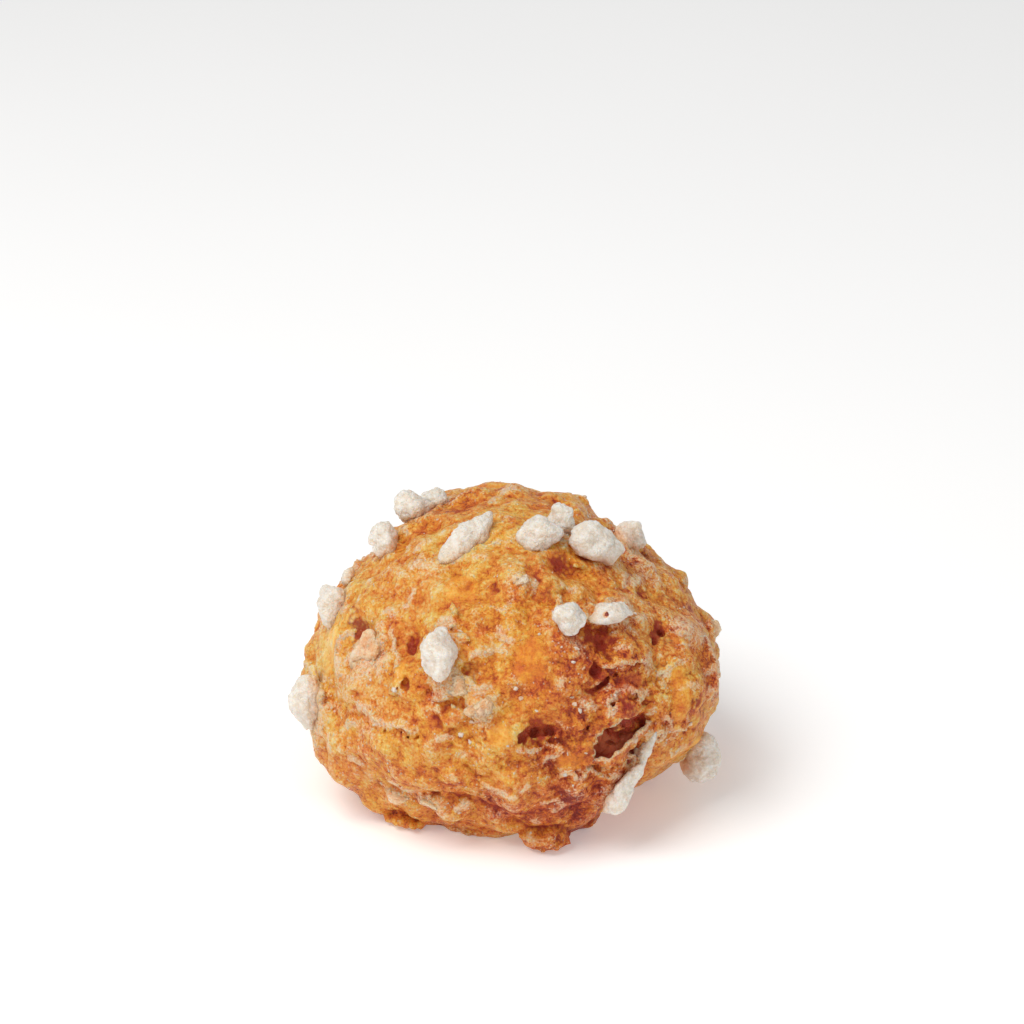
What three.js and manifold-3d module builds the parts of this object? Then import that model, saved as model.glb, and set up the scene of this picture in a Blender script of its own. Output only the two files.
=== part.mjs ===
// A sugar choux puff: a small round choux bun, baked golden and craggy, with pearl sugar pressed into its crust.
// Millimetres, +Z up. The bun sits on its flat baked base, whose middle is the origin, and its front faces -Y.
// The bun and its sugar hold together as one solid, because the grains are baked into the crust.
//
// Places on the crust are given from CENTRE, a point inside the bun, as two angles in degrees:
//   turn  round from the front, positive to the right as seen from the front
//   rise  up from level
import * as THREE from "three";
import { mergeVertices } from "three/addons/utils/BufferGeometryUtils.js";
import Module from "manifold-3d";

// ---- The bun's egg shape --------------------------------------------------------------------------------------

const HALF_WIDTH = 22.0; // along X at its widest
const HALF_DEPTH = 21.4; // along Y at its widest
const CENTRE_HEIGHT = 13; // of the widest ring over the base
const DOME_HEIGHT = 18.8; // from the widest ring to the top
const BOWL_DEPTH = 17.8; // how far the lower half would reach if the base did not cut it flat

// ---- What the oven did to the dough ---------------------------------------------------------------------------

// Broad swells (height above 0) and dents (below 0). reach is the angle over which one fades.
const SWELLS = [
  { turn: -160, rise: 48, reach: 24, height: 0.4 }, // the crown leans back and to the left
  { turn: 92, rise: 48, reach: 22, height: -1.6 }, // flattened right shoulder
  { turn: 130, rise: 42, reach: 14, height: -0.6 },
  { turn: 121, rise: 25, reach: 12, height: -0.6 },
  { turn: 112, rise: 39, reach: 10, height: -0.8 },
  { turn: 38, rise: 57, reach: 11, height: -1.0 }, // dip under the cluster of grains
  { turn: 98, rise: 8, reach: 12, height: 0.5 },
  { turn: 60, rise: 8, reach: 17, height: 1.3 }, // lobe to the right of the seam
  { turn: 25, rise: 25, reach: 14, height: 0.8 }, // brow over the torn pocket
  { turn: -66, rise: -18, reach: 13, height: 1.6 }, // the bun spreads wide at the lower left
  { turn: -60, rise: -28, reach: 12, height: 0.7 },
  { turn: -108, rise: 22, reach: 14, height: -0.5 },
  { turn: -128, rise: 34, reach: 12, height: -0.6 },
  { turn: 54, rise: -34, reach: 15, height: -2.4 }, // notch where the lobe lifts off the tray
  { turn: 10, rise: -44, reach: 16, height: -1.0 }, // undercut at the front
  { turn: -24, rise: -46, reach: 12, height: -0.5 },
  { turn: -160, rise: -12, reach: 20, height: -1.1 },
  { turn: 118, rise: -6, reach: 18, height: 0.6 },
];

// Small deep places, where a bubble burst or the crust tore. reach and depth are in millimetres.
const PITS = [
  { turn: 26, rise: 2.5, reach: 1.8, depth: 3.2 }, // the torn pocket, from its lower to its upper end
  { turn: 30.5, rise: 5, reach: 1.9, depth: 3.6 },
  { turn: 36, rise: 7, reach: 1.6, depth: 2.6 },
  { turn: 33, rise: 14, reach: 1.3, depth: 1.1 }, // hollow under the flake over the pocket
  { turn: 9, rise: 7, reach: 1.9, depth: 1.5 },
  { turn: -20, rise: 12, reach: 1.6, depth: 1.3 },
  { turn: -38, rise: 30, reach: 1.5, depth: 1.3 },
  { turn: 31, rise: 33, reach: 1.8, depth: 1.5 }, // shadowed hollow under the two grains
  { turn: 23, rise: 19, reach: 1.3, depth: 1.2 },
  { turn: -62, rise: 26, reach: 1.6, depth: 1.3 },
  { turn: 152, rise: 2, reach: 3.0, depth: 2.8 },
  { turn: -132, rise: 16, reach: 2.2, depth: 1.9 },
  { turn: 100, rise: 24, reach: 2.0, depth: 1.6 },
];

// Cracks, each along a great circle from one place to another. width and depth are in millimetres.
const CREASES = [
  { from: [36, 3], to: [47, -28], width: 1.7, depth: 1.1 }, // the seam below the pocket
  { from: [41, 10], to: [60, 30], width: 1.8, depth: 0.6 }, // the seam above it
  { from: [-30, -14], to: [22, -22], width: 1.3, depth: 0.7 }, // fold low on the front
  { from: [60, 44], to: [88, 20], width: 1.4, depth: 0.7 },
  { from: [140, -4], to: [188, 12], width: 1.4, depth: 1.4 },
  { from: [-120, 30], to: [-152, 2], width: 1.3, depth: 1.0 },
];

// The unevenness all over, in layers: lumps span apart and up to height high. A folded layer has rounded lumps with
// sharp valleys between them, and the others roll evenly.
const CRAGS = [
  { span: 12, height: 0.8, seed: 11 },
  { span: 5.4, height: 0.6, seed: 12 },
  { span: 3.6, height: 0.5, seed: 13, folded: true },
  { span: 2.2, height: 0.55, seed: 14 },
];

// Lumps of dough that ran onto the tray: middle x, y, z and the three half sizes.
const DRIPS = [
  { at: [3.2, -16.2, 1.8], half: [2.6, 2.3, 1.8], seed: 21 }, // the foot at the front
  { at: [7.2, -11.4, 1.4], half: [2.0, 2.0, 1.4], seed: 22 },
  { at: [-11.0, -10.6, 1.1], half: [2.8, 2.8, 1.1], seed: 23 },
  { at: [-8.4, 13.2, 1.2], half: [3.0, 2.8, 1.2], seed: 24 },
  { at: [13.6, 7.8, 1.2], half: [2.8, 3.0, 1.2], seed: 25 },
];

// ---- The pearl sugar ------------------------------------------------------------------------------------------

// Grains on the crown and the front, one by one, as the sugar fell there. long, wide and thick are full sizes; lean
// turns the long side on the crust, 0 being level; sunk is the share of the thickness that lies under the crust.
const FRONT_GRAINS = [
  { turn: -114, rise: 54, long: 3.9, wide: 3.4, thick: 3.6, lean: 0, sunk: 0.25 },
  { turn: -131, rise: 54.5, long: 3.0, wide: 2.6, thick: 2.6, lean: 20, sunk: 0.25 },
  { turn: -95, rise: 46, long: 3.8, wide: 3.0, thick: 4.0, lean: 15, sunk: 0.3 },
  { turn: -92, rise: 31, long: 3.0, wide: 2.2, thick: 1.8, lean: -35, sunk: 0.3 },
  { turn: -84, rise: 23, long: 5.2, wide: 4.2, thick: 4.2, lean: 20, sunk: 0.28 },
  { turn: -43, rise: 70, long: 7.0, wide: 2.7, thick: 2.4, lean: 83, sunk: 0.3 }, // the long flat one on the crown
  { turn: 26, rise: 72, long: 4.8, wide: 3.8, thick: 3.4, lean: -13, sunk: 0.25 }, // a cluster of four begins here
  { turn: 67, rise: 74, long: 3.6, wide: 3.2, thick: 4.4, lean: 30, sunk: 0.25 },
  { turn: 63, rise: 61.5, long: 5.6, wide: 4.8, thick: 4.2, lean: -54, sunk: 0.2 },
  { turn: 104, rise: 48, long: 3.6, wide: 3.2, thick: 3.0, lean: -35, sunk: 0.15 },
  { turn: 4, rise: 53, long: 1.8, wide: 1.6, thick: 1.5, lean: 0, sunk: 0.3 },
  { turn: 19, rise: 40, long: 4.0, wide: 3.6, thick: 3.2, lean: 48, sunk: 0.2 },
  { turn: 39, rise: 39, long: 5.2, wide: 2.8, thick: 2.8, lean: -21, sunk: 0.2 },
  { turn: -23.5, rise: 30, long: 6.4, wide: 4, thick: 4, lean: 96, sunk: 0.15 }, // the largest, with a melted tail
  { turn: -19, rise: 23, long: 3.2, wide: 2.6, thick: 1.6, lean: -35, sunk: 0.4 },
  { turn: -56, rise: 22, long: 4.7, wide: 3.0, thick: 2.0, lean: 44, sunk: 0.4 },
  { turn: -70, rise: 0.5, long: 6.2, wide: 3.6, thick: 3.4, lean: 92, sunk: 0.25 },
  { turn: 91, rise: 12, long: 2.4, wide: 1.8, thick: 1.7, lean: -78, sunk: 0.3 },
  { turn: 72, rise: -20.5, long: 5.8, wide: 4.0, thick: 4.2, lean: 99, sunk: 0.1 },
  { turn: 32.5, rise: -13, long: 5.8, wide: 2.5, thick: 2.6, lean: 62, sunk: 0.2 },
  { turn: 40.5, rise: -3.6, long: 3.8, wide: 1.4, thick: 1.6, lean: 62, sunk: 0.3 },
  { turn: -28, rise: -19, long: 1.9, wide: 1.4, thick: 1.3, lean: -9, sunk: 0.35 },
  { turn: -40, rise: -21, long: 2.1, wide: 1.3, thick: 1.3, lean: -5, sunk: 0.35 },
  { turn: -10, rise: 16, long: 2.6, wide: 1.9, thick: 1.3, lean: 20, sunk: 0.45 },
];

// Grains on the back follow a spiral with a little scatter, which spreads them as evenly as a hand does. None is laid
// within bare.angle of the place that bare names, so the strip behind the crown stays bare.
const BACK_GRAINS = {
  count: 48,
  turn: [96, 264], // from and to
  sineOfRise: [-0.35, 0.75], // equal steps of the sine cover the dome evenly
  scatter: 6, // degrees
  bare: { turn: 0, rise: 28, angle: 116 },
  long: [2.8, 5.6],
  wide: [0.62, 0.9], // share of the length
  thick: [0.6, 0.85], // share of the length
  sunk: [0.1, 0.35],
  seed: 31,
};

const GRAIN_LUMPS = { span: 1.9, height: 0.34, seed: 41 }; // a grain's own unevenness

// ---- How fine the solid is ------------------------------------------------------------------------------------

const CRUST_DETAIL = 18; // subdivisions of an icosahedron's edges
const GRAIN_DETAIL = 1;
const DRIP_DETAIL = 1;

const DEGREE = Math.PI / 180;
const GOLDEN_ANGLE = 137.508; // degrees from one draw of a spiral to the next
const CENTRE = new THREE.Vector3(0, 0, CENTRE_HEIGHT);

// ---- Repeatable unevenness ------------------------------------------------------------------------------------

// Large odd numbers with which the draws are scrambled, and half of the largest 32-bit number.
const [ODD_X, ODD_Y, ODD_Z, ODD_SEED] = [374761393, 668265263, 1442695041, 1274126177];
const [ODD_FIRST, ODD_SECOND] = [2246822519, 3266489917];
const HALF_RANGE = 2147483647.5;

// A number from -1 to 1 that depends only on three whole numbers and a seed.
function draw(x, y, z, seed) {
  let h = Math.imul(x, ODD_X) ^ Math.imul(y, ODD_Y) ^ Math.imul(z, ODD_Z) ^ Math.imul(seed, ODD_SEED);
  h = Math.imul(h ^ (h >>> 15), ODD_FIRST);
  h = Math.imul(h ^ (h >>> 13), ODD_SECOND);
  return ((h ^ (h >>> 16)) >>> 0) / HALF_RANGE - 1;
}

// A draw between the two ends of a range.
function drawBetween([low, high], index, seed) {
  return low + (high - low) * (draw(index, 0, 0, seed) * 0.5 + 0.5);
}

const ease = (t) => t * t * (3 - 2 * t);
const mix = (a, b, t) => a + (b - a) * t;

// Smooth noise from -1 to 1: the draws at the corners of the unit cell that holds the point, blended.
function noise(x, y, z, seed) {
  const [i, j, k] = [Math.floor(x), Math.floor(y), Math.floor(z)];
  const [u, v, w] = [ease(x - i), ease(y - j), ease(z - k)];
  const row = (dj, dk) => mix(draw(i, j + dj, k + dk, seed), draw(i + 1, j + dj, k + dk, seed), u);
  return mix(mix(row(0, 0), row(1, 0), v), mix(row(0, 1), row(1, 1), v), w);
}

// ---- The crust ------------------------------------------------------------------------------------------------

// The unit vector at a turn and a rise.
function direction(turn, rise) {
  const level = Math.cos(rise * DEGREE);
  return new THREE.Vector3(
    Math.sin(turn * DEGREE) * level,
    -Math.cos(turn * DEGREE) * level,
    Math.sin(rise * DEGREE),
  );
}

// 1 at the middle of a feature, falling smoothly to nothing at about twice its reach.
const fade = (distance, reach) => Math.exp(-((distance / reach) ** 2));

// From the centre to the smooth egg shape.
function eggRadius(d) {
  const high = d.z > 0 ? DOME_HEIGHT : BOWL_DEPTH;
  return 1 / Math.hypot(d.x / HALF_WIDTH, d.y / HALF_DEPTH, d.z / high);
}

// How far apart two directions lie on the crust, measured along it.
const apart = (a, b, radius) => a.angleTo(b) * radius;

// How far a direction lies from a crease, measured along the crust.
function apartFromCrease(d, crease, radius) {
  const from = direction(...crease.from);
  const to = direction(...crease.to);
  const pole = new THREE.Vector3().crossVectors(from, to).normalize();
  const along = new THREE.Vector3().crossVectors(pole, from);
  const angle = Math.atan2(d.dot(along), d.dot(from));
  const nearest = Math.min(Math.max(angle, 0), from.angleTo(to));
  const point = from.multiplyScalar(Math.cos(nearest)).addScaledVector(along, Math.sin(nearest));
  return apart(d, point, radius);
}

function cragHeight(point, { span, height, seed, folded }) {
  const lump = noise(point.x / span, point.y / span, point.z / span, seed);
  return height * (folded ? 2 * Math.abs(lump) - 0.5 : lump);
}

// From the centre to the crust, with every swell, pit, crease and crag.
function crustRadius(d) {
  const egg = eggRadius(d);
  let radius = egg;
  for (const swell of SWELLS)
    radius += swell.height * fade(d.angleTo(direction(swell.turn, swell.rise)) / DEGREE, swell.reach);
  for (const crag of CRAGS) radius += cragHeight(d.clone().multiplyScalar(egg), crag);
  for (const pit of PITS) radius -= pit.depth * fade(apart(d, direction(pit.turn, pit.rise), egg), pit.reach);
  for (const crease of CREASES) radius -= crease.depth * fade(apartFromCrease(d, crease, egg), crease.width);
  return d.z < 0 ? Math.min(radius, CENTRE_HEIGHT / -d.z) : radius;
}

// ---- Solids ---------------------------------------------------------------------------------------------------

const wasm = await Module();
wasm.setup();

// A geometry of which only the shared points and faces are left, each point moved by a function.
function reshaped(geometry, move) {
  geometry.deleteAttribute("normal");
  geometry.deleteAttribute("uv");
  const merged = mergeVertices(geometry);
  const place = merged.getAttribute("position");
  const point = new THREE.Vector3();
  for (let i = 0; i < place.count; i++) {
    move(point.fromBufferAttribute(place, i));
    place.setXYZ(i, point.x, point.y, point.z);
  }
  return merged;
}

function solidOf(geometry) {
  return new wasm.Manifold(
    new wasm.Mesh({
      numProp: 3,
      vertProperties: geometry.getAttribute("position").array,
      triVerts: new Uint32Array(geometry.index.array),
    }),
  );
}

function geometryOf(solid) {
  const { vertProperties, triVerts } = solid.getMesh();
  return new THREE.BufferGeometry()
    .setAttribute("position", new THREE.BufferAttribute(vertProperties, 3))
    .setIndex(new THREE.BufferAttribute(triVerts, 1));
}

function crust() {
  const ball = new THREE.IcosahedronGeometry(1, CRUST_DETAIL);
  return solidOf(
    reshaped(ball, (p) => {
      p.normalize();
      p.multiplyScalar(crustRadius(p)).add(CENTRE);
    }),
  );
}

// A lump of dough on the tray, cut off level with the base.
function drip({ at, half, seed }) {
  const ball = new THREE.IcosahedronGeometry(1, DRIP_DETAIL);
  return solidOf(
    reshaped(ball, (p) => {
      const { span, height } = GRAIN_LUMPS;
      const swell = 1 + (height * noise((p.x * half[0]) / span, (p.y * half[1]) / span, p.z, seed)) / half[2];
      p.multiplyScalar(swell).multiply(new THREE.Vector3(...half)).add(new THREE.Vector3(...at));
      p.z = Math.max(p.z, 0);
    }),
  );
}

// One grain, lying on the crust: its long side level and then leaned, its thickness along the way out.
function grain({ turn, rise, long, wide, thick, lean, sunk }, index) {
  const out = direction(turn, rise);
  const level = new THREE.Vector3(Math.cos(turn * DEGREE), Math.sin(turn * DEGREE), 0);
  const up = new THREE.Vector3().crossVectors(out, level);
  const side = level.multiplyScalar(Math.cos(lean * DEGREE)).addScaledVector(up, Math.sin(lean * DEGREE));
  const across = new THREE.Vector3().crossVectors(out, side);
  const middle = out.clone().multiplyScalar(crustRadius(out) + thick * (0.5 - sunk)).add(CENTRE);
  const { span, height, seed } = GRAIN_LUMPS;
  const ball = new THREE.OctahedronGeometry(1, GRAIN_DETAIL);
  return solidOf(
    reshaped(ball, (p) => {
      const half = new THREE.Vector3(long / 2, wide / 2, thick / 2);
      const rough = half.clone().multiply(p).divideScalar(span);
      const swell = 1 + (height * noise(rough.x, rough.y, rough.z, seed + index)) / (wide / 2);
      const local = half.multiply(p).multiplyScalar(swell);
      p.copy(middle).addScaledVector(side, local.x).addScaledVector(across, local.y).addScaledVector(out, local.z);
    }),
  );
}

function backGrains() {
  const { count, turn, sineOfRise, scatter, bare, seed } = BACK_GRAINS;
  const spread = Array.from({ length: count }, (_, i) => {
    const round = ((i * GOLDEN_ANGLE) % 360) / 360;
    const sine = mix(...sineOfRise, (i + 0.5) / count);
    const long = drawBetween(BACK_GRAINS.long, i, seed + 2);
    return {
      turn: mix(...turn, round) + scatter * draw(i, 0, 0, seed),
      rise: Math.asin(sine) / DEGREE + scatter * draw(i, 0, 0, seed + 1),
      long,
      wide: long * drawBetween(BACK_GRAINS.wide, i, seed + 3),
      thick: long * drawBetween(BACK_GRAINS.thick, i, seed + 4),
      lean: 90 * draw(i, 0, 0, seed + 5),
      sunk: drawBetween(BACK_GRAINS.sunk, i, seed + 6),
    };
  });
  const view = direction(bare.turn, bare.rise);
  return spread.filter((grain) => direction(grain.turn, grain.rise).angleTo(view) > bare.angle * DEGREE);
}

// ---- The part -------------------------------------------------------------------------------------------------

const lumps = [...DRIPS.map(drip), ...[...FRONT_GRAINS, ...backGrains()].map(grain)];
const bun = lumps.reduce((whole, lump) => whole.add(lump), crust());

const mesh = new THREE.Mesh(
  geometryOf(bun),
  new THREE.MeshStandardMaterial({ color: 0xd9923f, roughness: 0.6, metalness: 0 }),
);
mesh.name = "choux_puff";

const part = new THREE.Group();
part.add(mesh);

export default part;
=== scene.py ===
"""Looks of a small choux bun with a craggy golden crust and pearl sugar baked on.

The crust is grown in a grid of distances: the rounded form of the solid first, then crumbs, ledges, tears
and thin flakes, and its surface is drawn off as one mesh. The sugar is laid on that mesh.
Lengths are millimetres until a mesh is made, which is in metres. A place on the crust is (turn, rise) in
degrees, seen from the middle of the bun: turn goes round from the front towards the right, and rise goes up
from level. A patch is a place, its reach in degrees and the amount in its middle.
"""
import itertools
import math

import bmesh
import bpy
import numpy as np
import openvdb
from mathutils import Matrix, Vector
from mathutils.kdtree import KDTree


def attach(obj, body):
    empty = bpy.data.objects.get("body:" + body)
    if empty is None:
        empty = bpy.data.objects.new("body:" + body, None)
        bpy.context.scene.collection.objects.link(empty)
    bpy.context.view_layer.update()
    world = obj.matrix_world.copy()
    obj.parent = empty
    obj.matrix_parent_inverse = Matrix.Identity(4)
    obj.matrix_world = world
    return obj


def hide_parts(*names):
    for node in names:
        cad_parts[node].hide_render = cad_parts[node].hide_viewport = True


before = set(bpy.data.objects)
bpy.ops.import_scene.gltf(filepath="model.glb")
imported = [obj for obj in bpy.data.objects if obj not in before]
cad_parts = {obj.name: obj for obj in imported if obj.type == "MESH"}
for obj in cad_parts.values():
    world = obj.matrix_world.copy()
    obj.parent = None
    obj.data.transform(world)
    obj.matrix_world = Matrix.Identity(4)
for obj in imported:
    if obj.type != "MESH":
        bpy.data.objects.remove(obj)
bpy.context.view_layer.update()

MM = 0.001
NODE = "choux_puff"
BODY = "root"

# ---- The form of the solid, in the same values ----

HALF_WIDTH = 22.0
HALF_DEPTH = 21.4
CENTRE_HEIGHT = 13.0
DOME_HEIGHT = 18.8
BOWL_DEPTH = 17.8
CENTRE = np.array([0.0, 0.0, CENTRE_HEIGHT])

# Wide swellings and hollows: turn, rise, reach in degrees, height.
SWELLS = [
    (-160, 48, 24, 0.4), (92, 48, 22, -1.6), (130, 42, 14, -0.6), (121, 25, 12, -0.6), (112, 39, 10, -0.8),
    (38, 57, 11, -1), (98, 8, 12, 0.5), (60, 8, 17, 1.3), (25, 25, 14, 0.8), (-66, -18, 13, 1.6),
    (-60, -28, 12, 0.7), (-108, 22, 14, -0.5), (-128, 34, 12, -0.6), (54, -34, 15, -2.4), (10, -44, 16, -1),
    (-24, -46, 12, -0.5), (-160, -12, 20, -1.1), (118, -6, 18, 0.6),
]

# Sunken places: turn, rise, reach, depth.
PITS = [
    (26, 2.5, 1.8, 3.2), (30.5, 5, 1.9, 3.6), (36, 7, 1.6, 2.6), (33, 14, 1.3, 1.1), (9, 7, 1.9, 1.5),
    (-20, 12, 1.6, 1.3), (-38, 30, 1.5, 1.3), (31, 33, 1.8, 1.5), (23, 19, 1.3, 1.2), (-62, 26, 1.6, 1.3),
    (152, 2, 3, 2.8), (-132, 16, 2.2, 1.9), (100, 24, 2, 1.6),
]

# Folds between two places: from, to, width, depth.
CREASES = [
    ((36, 3), (47, -28), 1.7, 1.1), ((41, 10), (60, 30), 1.8, 0.6), ((-30, -14), (22, -22), 1.3, 0.7),
    ((60, 44), (88, 20), 1.4, 0.7), ((140, -4), (188, 12), 1.4, 1.4), ((-120, 30), (-152, 2), 1.3, 1),
]

# Layers of unevenness: span, height, seed, folded.
CRAGS = [(12, 0.8, 11, False), (5.4, 0.6, 12, False), (3.6, 0.5, 13, True), (2.2, 0.55, 14, False)]

# Lumps of dough that ran onto the tray: middle, half sizes, seed.
DRIPS = [
    ((3.2, -16.2, 1.8), (2.6, 2.3, 1.8), 21), ((7.2, -11.4, 1.4), (2, 2, 1.4), 22),
    ((-11, -10.6, 1.1), (2.8, 2.8, 1.1), 23), ((-8.4, 13.2, 1.2), (3, 2.8, 1.2), 24),
    ((13.6, 7.8, 1.2), (2.8, 3, 1.2), 25),
]

# Sugar grains on the crown and the front: turn, rise, long, wide, thick, lean, sunk share, melted share.
FRONT_GRAINS = [
    (-114, 54, 3.9, 3.4, 3.6, 0, 0.25, 0), (-131, 54.5, 3, 2.6, 2.6, 20, 0.25, 0),
    (-95, 46, 3.8, 3, 4, 15, 0.3, 0.2), (-92, 31, 3, 2.2, 1.8, -35, 0.3, 0.4),
    (-84, 23, 5.2, 4.2, 4.2, 20, 0.28, 0.5), (-43, 70, 7, 2.7, 2.4, 83, 0.3, 0.2),
    (26, 72, 4.8, 3.8, 3.4, -13, 0.25, 0.1), (67, 74, 3.6, 3.2, 4.4, 30, 0.25, 0),
    (63, 61.5, 5.6, 4.8, 4.2, -54, 0.2, 0), (104, 48, 3.6, 3.2, 3, -35, 0.15, 0.4),
    (4, 53, 1.8, 1.6, 1.5, 0, 0.3, 0.4), (19, 40, 4, 3.6, 3.2, 48, 0.2, 0.1),
    (39, 39, 5.2, 2.8, 2.8, -21, 0.2, 0.3), (-23.5, 30, 6.4, 4, 4, 96, 0.15, 0),
    (-19, 23, 3.2, 2.6, 1.6, -35, 0.4, 1), (-56, 22, 4.7, 3, 2, 44, 0.4, 0.9),
    (-70, 0.5, 6.2, 3.6, 3.4, 92, 0.25, 0.2), (91, 12, 2.4, 1.8, 1.7, -78, 0.3, 0.7),
    (72, -20.5, 5.8, 4, 4.2, 99, 0.1, 0.2), (32.5, -13, 5.8, 2.5, 2.6, 62, 0.2, 0.2),
    (40.5, -3.6, 3.8, 1.4, 1.6, 62, 0.3, 0.1), (-28, -19, 1.9, 1.4, 1.3, -9, 0.35, 0.7),
    (-40, -21, 2.1, 1.3, 1.3, -5, 0.35, 0.8), (-10, 16, 2.6, 1.9, 1.3, 20, 0.45, 1),
]

# Grains on the back: a spiral with a little scatter, and a bare strip behind the crown.
BACK_COUNT = 48
BACK_TURN = (96, 264)
BACK_SINE = (-0.35, 0.75)
BACK_SCATTER = 6
BACK_BARE = (0, 28, 116)  # turn, rise, angle round that place that stays bare
BACK_LONG = (2.8, 5.6)
BACK_WIDE = (0.62, 0.9)
BACK_THICK = (0.6, 0.85)
BACK_SUNK = (0.1, 0.35)
BACK_SEED = 31
GOLDEN_ANGLE = 137.508

GRAIN_LUMP_SPAN = 1.9
GRAIN_LUMP_HEIGHT = 0.34
GRAIN_SEED = 41

# ---- The finer form that the crust has here ----

VOXEL = 0.27
BAND = 1.1  # how far to each side of the surface the distances are worked out
DEEPEST = 6.5  # no part of the crust is farther than this from the smooth egg
GRID_LOW = (-24.6, -24.6, -1.24)
GRID_HIGH = (24.6, 24.6, 34.1)
FLAT_BASE = 0.02
CRUST_TRIANGLES = 196000
CRUST_DROP = -0.25  # the fine relief stands out on the whole, so the even surface lies lower
LEAST_SUNK = 0.12  # a grain less sunk than this has no skirt of crust risen round it
SKIRT_SEED = 650

LUMP_HEIGHT = 0.14
CRUMB_SPANS = (2.0, 0.9)
CRUMB_HEIGHTS = (0.12, 0.13)
MEAN_CRUMB = 0.6  # how high a layer of crumbs is on the whole, as a share of its height
GRIT_HEIGHT = 0.10
CRACK_DEPTH = 0.25
LEDGE_SPAN = 1.5
LEDGE_HEIGHT = 0.22
LEVEL_STREAK_HEIGHT = 0.15
TALL_STREAK_HEIGHT = 0.20

# Patches where the crust is torn into ledges, and where it runs in upright streaks.
TORN = [(34, 12, 22, 1), (5, -6, 26, 0.6), (150, 0, 40, 0.8), (-140, 0, 30, 0.5)]
UPRIGHT = [(-66, 16, 24, 1)]

# Smooth blisters: turn, rise, half sizes along and across in degrees, lean of the long side, height.
BLISTERS = [
    (5, 29.5, 4.6, 8.2, 0, 0.25), (-26, 51, 6, 4.6, 0, 0.2), (36.5, 18.5, 5.5, 3.2, 0, 0.05),
    (16.5, -1.5, 5, 3.4, 0, 0.15), (-72, 15, 6, 9, 0, 0.15), (-36.5, 21, 1.5, 5, 12, 0.2),
    (52, 10, 2.8, 8, -10, 0.1), (61, 20, 2.6, 6, 10, 0.1), (57, -12, 9, 3.6, 10, 0.1),
    (-4, 8.5, 4, 3, 0, 0.15), (120, 40, 5, 6, 0, 0.25), (150, 30, 6, 4, 20, 0.25),
    (-140, 38, 4.5, 7, 20, 0.25), (178, 18, 5.5, 4.5, -20, 0.25), (-110, 8, 4, 7, 0, 0.2),
    (-165, 60, 6, 4, 0, 0.2),
]

# Holes and tears: turn, rise, depth of the middle, half sizes along, across and inwards, lean.
TEARS = [
    (26, 24.5, 0.1, 0.65, 0.8, 0.8, 0), (28, 20.5, 0, 0.9, 0.28, 0.6, 30),
    (30.5, 31.5, 0, 0.36, 0.5, 0.5, 20), (43, 28, -0.1, 0.34, 0.45, 0.4, 80),
    (53.5, 27, -0.1, 0.3, 0.6, 0.4, 0), (58, 27, -0.1, 1.2, 0.35, 0.5, 120),
    (3.5, 8.5, -0.2, 1.5, 0.9, 0.7, -10), (8.5, 8, -0.2, 1.2, 0.6, 0.6, 10),
    (-37.5, 28.5, -0.2, 1.2, 0.5, 0.6, 130), (-34, 22.5, -0.3, 2.2, 0.45, 0.6, 95),
    (-49.5, 10.5, -0.2, 0.9, 0.4, 0.45, 0), (-32.5, 4.5, -0.1, 1.6, 0.16, 0.4, 5),
    (-39.5, -6.5, -0.1, 0.4, 0.2, 0.4, -40), (-10, 51.5, -0.1, 0.3, 0.8, 0.4, 20),
    (11.5, 54, -0.1, 0.5, 0.3, 0.4, 0), (152, 2, 0.4, 2.4, 1, 1.4, 20), (-132, 16, 0.2, 1.6, 0.8, 1, -30),
    (100, 24, 0.1, 1.3, 0.8, 0.9, 60), (170, 36, 0, 1.2, 0.5, 0.6, 10), (-155, -2, 0, 1.5, 0.5, 0.6, 0),
]
TEAR_UNEVENNESS = 0.5
TEAR_SEED = 601

# Crumb that makes the torn pocket and other hollows shallower: turn, rise, how far under the crust as it
# was, half sizes along, across and inwards, lean.
FILLINGS = [
    (35, 7.5, 1, 2.6, 1.8, 1, 15), (29.5, 5, 1.6, 2.4, 2, 1, 20), (33, 14.5, 0.35, 1.6, 1.3, 0.8, 0),
    (28.5, 15.2, 0, 1.4, 1.1, 0.9, 0), (36.3, 15, 0.2, 1, 0.9, 0.8, 0), (23.5, 11, 0.15, 1.5, 0.9, 0.8, 60),
    (-20, 12, 0.25, 1.7, 1.5, 0.8, 0), (9, 7, 0.9, 1.4, 1, 0.8, 0),
]
FILLING_SEED = 611

# Thin flakes of torn crust: the places that the lip runs through, its width back to the root, and how far
# the lip stands above the crust. The root lies to the left of the way along the lip.
FLAKES = [
    ([(27.5, 25), (31.5, 24.8), (35, 24.5), (39, 23), (45, 22)], 1.1, 0.5),
    ([(-35, 16), (-36.5, 21), (-39, 24.5), (-43, 28), (-49, 31)], 1.3, 0.5),
    ([(64, 4), (69, 8), (72, 14), (75, 18)], 0.9, 0.45),
    ([(13, 2.5), (9, 4), (5, 3.6), (1, 5)], 0.9, 0.4),
    ([(30, -8), (26, -8.5), (22, -3.5), (19, -6), (16, -4), (12, -6)], 0.9, 0.35),
    ([(-64, 14), (-66, 20), (-64, 26)], 0.9, 0.35),
    ([(-46, 6), (-40, 5.5), (-34, 6), (-28, 7)], 0.9, 0.25),
    ([(146, 6), (152, 7), (159, 5)], 1.2, 0.45),
    ([(-136, 21), (-131, 20), (-127, 17)], 1, 0.4),
]
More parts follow.
